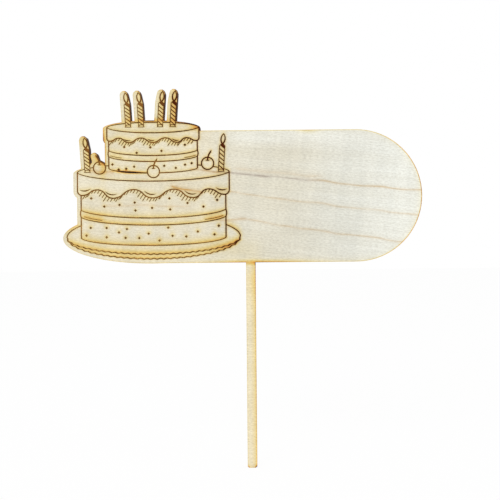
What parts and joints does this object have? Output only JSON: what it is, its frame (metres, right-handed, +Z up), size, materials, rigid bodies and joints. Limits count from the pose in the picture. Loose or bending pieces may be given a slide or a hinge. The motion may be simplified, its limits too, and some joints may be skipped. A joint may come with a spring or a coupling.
{
  "type": "cake topper",
  "caption": "Flat plywood cake topper: engraved tiered birthday cake beside a blank round-ended tag, on a slim push-in stick.",
  "frame": {"origin": "middle of the stick's tip, halfway through the sheet", "axes": "+Z up the stick, +X towards the tag's round end, -Y out of the engraved face"},
  "size_m": [0.1505, 0.003, 0.1589],
  "materials": {
    "face_veneer": "bare sanded maple veneer, laser engraved",
    "core": "bare core veneer, scorched at the cut",
    "back_veneer": "bare sanded maple veneer",
    "glue": "cured glue film, charred at the cut"
  },
  "bodies": {
    "root": {"front_veneer": "face_veneer", "front_glue_line": "glue", "core_ply": "core", "back_glue_line": "glue", "back_veneer": "back_veneer"}
  },
  "joints": []
}
